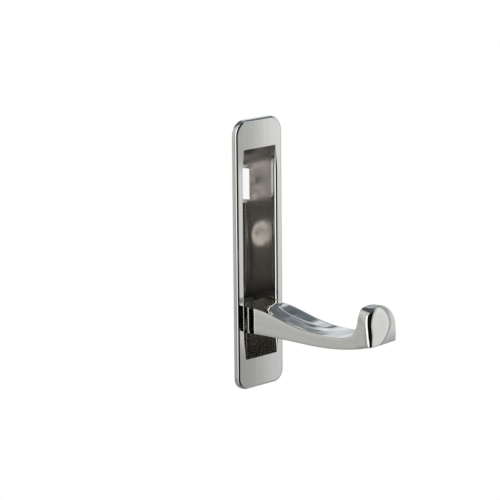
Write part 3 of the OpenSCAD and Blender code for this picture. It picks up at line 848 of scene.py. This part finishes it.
def makeScrews():
    s = screwShape
    pattern = screwPattern()
    tree, sockets = screwTree()
    screws = newObject("pocketScrews", bmesh.new())
    setter = screws.modifiers.new("screwSetter", "NODES")
    setter.node_group = tree
    setter[sockets["Screw"]] = pattern
    setter[sockets["Spacing"]] = s["spacing"] * mm
    setter[sockets["Row Distance"]] = (s["rowTop"] - s["rowBottom"]) * mm
    setter[sockets["Middle"]] = (0.0, 0.0, (s["rowTop"] + s["rowBottom"]) / 2 * mm)
    made = applyModifiers(screws)
    bpy.data.objects.remove(pattern)
    made.materials.clear()
    made.materials.append(steel)
    smoothEdges(screws, s["smoothAngle"])
    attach(screws, "housing")
    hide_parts("shell_screws")


makeScrews()
print("screws made")


# Carried-over pieces get their finish

finishes = {
    # the nylon bushes and washer carry the near-black painted shade of the gap at the pivot
    "bush_left": nylon, "bush_right": nylon, "thrust_washer": nylon,
    "pivot_pin": steel, "spring_washer": steel, "stop_pin": steel, "stop_clip": steel,
    "stop_sleeve": rubber, "prong_bumper": rubber,
}
for nodeName, material in finishes.items():
    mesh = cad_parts[nodeName].data
    mesh.materials.clear()
    mesh.materials.append(material)
print("carried-over pieces finished")


# Stage: a pale floor, a white mounting board that stands in the plate's plane, and the studio

stageShape = {
    "floorSize": 6000, "floorHeight": -420, "floorColor": "#f4f4f4",
    "floorGlow": 0.6,  # how far the camera sees the floor as plain white; the rest has shadows
    "boardHalfWidth": 330, "boardHalfHeight": 360, "boardBack": 0.02,
    "mortiseHalfWidth": 14.6, "mortiseHalfHeight": 65.8,
}


def makeFloor():
    s = stageShape
    bm = bmesh.new()
    bmesh.ops.create_grid(bm, x_segments=1, y_segments=1, size=s["floorSize"] / 2 * mm,
                          matrix=Matrix.Translation((0, 0, s["floorHeight"] * mm)))
    floor = newObject("paleFloor", bm)
    material, tree = newMaterial("paleStudioFloor")
    path = addNode(tree, "ShaderNodeLightPath")
    matt = addNode(tree, "ShaderNodeBsdfDiffuse", {"Color": linearColor(s["floorColor"])})
    glow = addNode(tree, "ShaderNodeEmission")  # white, as made
    share = addNode(tree, "ShaderNodeMath", {
        0: path.outputs["Is Camera Ray"], 1: s["floorGlow"]}, operation="MULTIPLY")
    mix = addNode(tree, "ShaderNodeMixShader", {
        0: share.outputs[0], 1: matt.outputs[0], 2: glow.outputs[0]})
    closeMaterial(tree, mix.outputs[0])
    floor.data.materials.append(material)
    floor.visible_glossy = False


def makeBoard():
    # the panel that the plate is let into: the camera sees its white front, nothing else does
    s = stageShape
    bm = bmesh.new()
    rings = []
    for halfW, halfH in ((s["boardHalfWidth"], s["boardHalfHeight"]),
                         (s["mortiseHalfWidth"], s["mortiseHalfHeight"])):
        ring = [bm.verts.new((x * halfW * mm, s["boardBack"] * mm, z * halfH * mm))
                for x, z in ((-1, -1), (1, -1), (1, 1), (-1, 1))]
        rings.append(ring + ring[:1])
    makeStrip(bm, rings)
    bm.normal_update()
    if bm.faces[:][0].normal.y > 0:
        bmesh.ops.reverse_faces(bm, faces=bm.faces)
    board = newObject("mountingBoard", bm)
    material, tree = newMaterial("whiteBoard")
    path = addNode(tree, "ShaderNodeLightPath")
    side = addNode(tree, "ShaderNodeNewGeometry")
    front = addNode(tree, "ShaderNodeMath", {
        0: 1.0, 1: side.outputs["Backfacing"]}, operation="SUBTRACT")
    share = addNode(tree, "ShaderNodeMath", {
        0: path.outputs["Is Camera Ray"], 1: front.outputs[0]}, operation="MULTIPLY")
    clear = addNode(tree, "ShaderNodeBsdfTransparent")
    white = addNode(tree, "ShaderNodeEmission")
    mix = addNode(tree, "ShaderNodeMixShader", {
        0: share.outputs[0], 1: clear.outputs[0], 2: white.outputs[0]})
    closeMaterial(tree, mix.outputs[0])
    board.data.materials.append(material)


studio = {
    # azimuth from straight in front, + to the right; what polished metal mirrors there
    "ring": [(-180, "#ccccca"), (-150, "#cfcfcd"), (-141, "#c9c9c6"), (-134.6, "#d4d4d1", 1.14),
             (-129, "#bcbcba"), (-112, "#b8b8b6"), (-108, "#70706f"), (-104, "#ffffff", 1.6),
             (-58, "#ffffff", 1.6), (-53, "#0d0d0c"), (24, "#0d0d0c"), (27, "#a8a8a6", 1.1),
             (37, "#b2b2b0", 1.1), (41.6, "#c0c1bf", 1.05), (43.4, "#d0d1d0", 1.04),
             (44.2, "#d8d9d8", 1.12), (46, "#e2e3e2", 1.22), (48.5, "#e0e1e0", 1.3),
             (50.5, "#b4b5b4"), (53, "#acadac"), (57, "#dcdddc", 1.15), (100, "#dcdddc", 1.2),
             (128, "#e4e7ea", 1.2), (150, "#ccd0d4", 1.2), (180, "#ccccca")],
    # elevation: the ceiling, from the far right of the object to its left
    "ceiling": [
        [(0, "#6a7076"), (12, "#6a7076"), (17, "#80868b"), (21, "#5c6268"), (30, "#6b7278"),
         (90, "#6c7379")],
        [(0, "#dde3e6"), (21, "#dce2e5"), (23.6, "#565c62"), (28.5, "#989ea3"), (32, "#6b7278"),
         (42, "#767c82"), (90, "#6c7379")],
        [(0, "#dde3e6"), (8, "#dfe4e7"), (12, "#6a6f73"), (24, "#6a6f73"), (29, "#d6dbdf"),
         (37, "#d0d5d9"), (50, "#d0d5d9"), (55, "#7c8287"), (90, "#6c7379")],
        [(0, "#d8d9d8"), (7, "#d8d9d8"), (12, "#505456"), (42, "#44484b"), (46, "#6b7278"),
         (62, "#6b7278"), (72, "#4f5457"), (90, "#4f5457")],
        [(0, "#bebebc"), (10, "#c6c6c4"), (30, "#d2d2d0"), (72, "#c9cac9"), (80, "#5a5f62"),
         (90, "#4f5457")]],
    # how far right (1 is due right) each ceiling gives way to the next
    "ceilingEdges": [(0.72, 0.69), (0.61, 0.57), (0.48, 0.4), (-0.16, -0.3)],
    "cloudScale": 6.0,
    # limits of Map Range nodes, angles in radians: how much the clouds darken and brighten the
    # ceiling, and at which elevation it starts, lower behind the object (Y is 1) than in front
    "clouds": {"From Min": 0.35, "From Max": 0.65, "To Min": 0.8, "To Max": 1.2},
    "ceilingStart": {"From Min": -0.1, "From Max": 0.4,
                     "To Min": math.radians(22), "To Max": math.radians(2)},
    "ceilingBlend": {"From Max": math.radians(6)},
    # the white tent on the left and the dark round the camera reach higher than that
    "tallerLeft": {"From Min": 0.5, "From Max": 0.35},
    "tallerFront": {"From Min": 0.3, "From Max": 0.0, "To Max": math.radians(30)},
    "groundBlend": {"From Min": math.radians(-40), "From Max": math.radians(-65)},
    # elevation: how the ring darkens towards the ground
    "lowerTone": [(-40, "#bebebe"), (-26, "#b8b8b8"), (-22, "#bababa"), (-16, "#d4d4d4"),
                  (-12.8, "#e4e4e4"), (-9.5, "#efefef"), (0, "#f5f5f5")],
    "ground": "#7d7c7a",
    "level": 0.85,  # the plain light on all that isn't a mirror
}


def makeWorld():
    # one soft studio: white tents left and right, a dark gap round the camera, a greyer ceiling
    s = studio
    world = bpy.data.worlds.new("softStudio")
    bpy.context.scene.world = world
    world.use_nodes = True
    tree = world.node_tree
    tree.nodes.clear()
    way = addNode(tree, "ShaderNodeTexCoord").outputs["Generated"]
    parts = addNode(tree, "ShaderNodeSeparateXYZ", {"Vector": way})
    ahead = addNode(tree, "ShaderNodeMath", {0: parts.outputs["Y"], 1: -1.0}, operation="MULTIPLY")
    azimuth = addNode(tree, "ShaderNodeMath", {
        0: parts.outputs["X"], 1: ahead.outputs[0]}, operation="ARCTAN2")
    place = addNode(tree, "ShaderNodeMapRange", {
        "Value": azimuth.outputs[0], "From Min": -math.pi, "From Max": math.pi})
    rise = addNode(tree, "ShaderNodeMath", {0: parts.outputs["Z"]}, operation="ARCSINE")
    height = addNode(tree, "ShaderNodeMapRange", {
        "Value": rise.outputs[0], "From Min": -math.pi / 2, "From Max": math.pi / 2})

    # in a colour mix, inputs 6 and 7 are the two colours and output 2 the result
    ring = addNode(tree, "ShaderNodeValToRGB", {"Fac": place.outputs["Result"]})
    setRamp(ring, [((angle + 180) / 360, *c) for angle, *c in s["ring"]])
    tone = addNode(tree, "ShaderNodeValToRGB", {"Fac": height.outputs["Result"]})
    setRamp(tone, [((angle + 90) / 180, c) for angle, c in s["lowerTone"]])
    band = addNode(tree, "ShaderNodeMix", {
        0: 1.0, 6: ring.outputs["Color"], 7: tone.outputs["Color"]},
        data_type="RGBA", blend_type="MULTIPLY")
    skies = []
    for stops in s["ceiling"]:
        sky = addNode(tree, "ShaderNodeValToRGB", {"Fac": height.outputs["Result"]})
        setRamp(sky, [((angle + 90) / 180, c) for angle, c in stops])
        skies.append(sky.outputs["Color"])
    ceiling = skies[0]
    for sky, (edgeFrom, edgeTo) in zip(skies[1:], s["ceilingEdges"]):
        along = addNode(tree, "ShaderNodeMapRange", {
            "Value": parts.outputs["X"], "From Min": edgeFrom, "From Max": edgeTo},
            interpolation_type="SMOOTHSTEP")
        ceiling = addNode(tree, "ShaderNodeMix", {
            0: along.outputs["Result"], 6: ceiling, 7: sky}, data_type="RGBA").outputs[2]
    cloud = addNode(tree, "ShaderNodeTexNoise", {
        "Vector": way, "Scale": s["cloudScale"], "Detail": 2.0})
    mottle = addNode(tree, "ShaderNodeMapRange", {"Value": cloud.outputs["Fac"], **s["clouds"]})
    dappled = addNode(tree, "ShaderNodeMix", {0: 1.0, 6: ceiling, 7: mottle.outputs["Result"]},
                      data_type="RGBA", blend_type="MULTIPLY")
    # where the ceiling and the ground take over
    start = addNode(tree, "ShaderNodeMapRange", {
        "Value": parts.outputs["Y"], **s["ceilingStart"]})
    leftward = addNode(tree, "ShaderNodeMapRange", {
        "Value": parts.outputs["X"], **s["tallerLeft"]})
    forward = addNode(tree, "ShaderNodeMapRange", {
        "Value": parts.outputs["Y"], **s["tallerFront"]})
    taller = addNode(tree, "ShaderNodeMath", {
        0: leftward.outputs["Result"], 1: forward.outputs["Result"], 2: start.outputs["Result"]},
        operation="MULTIPLY_ADD")
    over = addNode(tree, "ShaderNodeMath", {
        0: rise.outputs[0], 1: taller.outputs[0]}, operation="SUBTRACT")
    share = addNode(tree, "ShaderNodeMapRange", {
        "Value": over.outputs[0], **s["ceilingBlend"]}, interpolation_type="SMOOTHSTEP")
    fall = addNode(tree, "ShaderNodeMapRange", {
        "Value": rise.outputs[0], **s["groundBlend"]}, interpolation_type="SMOOTHSTEP")
    upper = addNode(tree, "ShaderNodeMix", {
        0: share.outputs["Result"], 6: band.outputs[2], 7: dappled.outputs[2]}, data_type="RGBA")
    whole = addNode(tree, "ShaderNodeMix", {
        0: fall.outputs["Result"], 6: upper.outputs[2], 7: linearColor(s["ground"])},
        data_type="RGBA")
    # metal mirrors the studio, the rest gets a plain level and the camera sees white
    path = addNode(tree, "ShaderNodeLightPath")
    mirror = addNode(tree, "ShaderNodeBackground", {"Color": whole.outputs[2]})
    plain = addNode(tree, "ShaderNodeBackground", {"Color": (1, 1, 1, 1), "Strength": s["level"]})
    white = addNode(tree, "ShaderNodeBackground", {"Color": (1, 1, 1, 1)})
    lit = addNode(tree, "ShaderNodeMixShader", {
        0: path.outputs["Is Glossy Ray"], 1: plain.outputs[0], 2: mirror.outputs[0]})
    seen = addNode(tree, "ShaderNodeMixShader", {
        0: path.outputs["Is Camera Ray"], 1: lit.outputs[0], 2: white.outputs[0]})
    out = addNode(tree, "ShaderNodeOutputWorld")
    tree.links.new(seen.outputs[0], out.inputs["Surface"])


keyLamp = {"size": 1200, "place": (-50, -1650, 400), "watts": 58.0}


def makeLamp():
    data = bpy.data.lights.new("softKey", "AREA")
    data.shape = "DISK"
    data.size = keyLamp["size"] * mm
    data.energy = keyLamp["watts"]
    lamp = bpy.data.objects.new("softKey", data)
    lamp.location = Vector(keyLamp["place"]) * mm
    lamp.rotation_euler = (-lamp.location).to_track_quat("-Z", "Y").to_euler()
    lamp.visible_glossy = False
    bpy.context.scene.collection.objects.link(lamp)


makeFloor()
makeBoard()
makeWorld()
makeLamp()
bpy.context.scene.view_settings.view_transform = "Standard"
print("stage and light made")
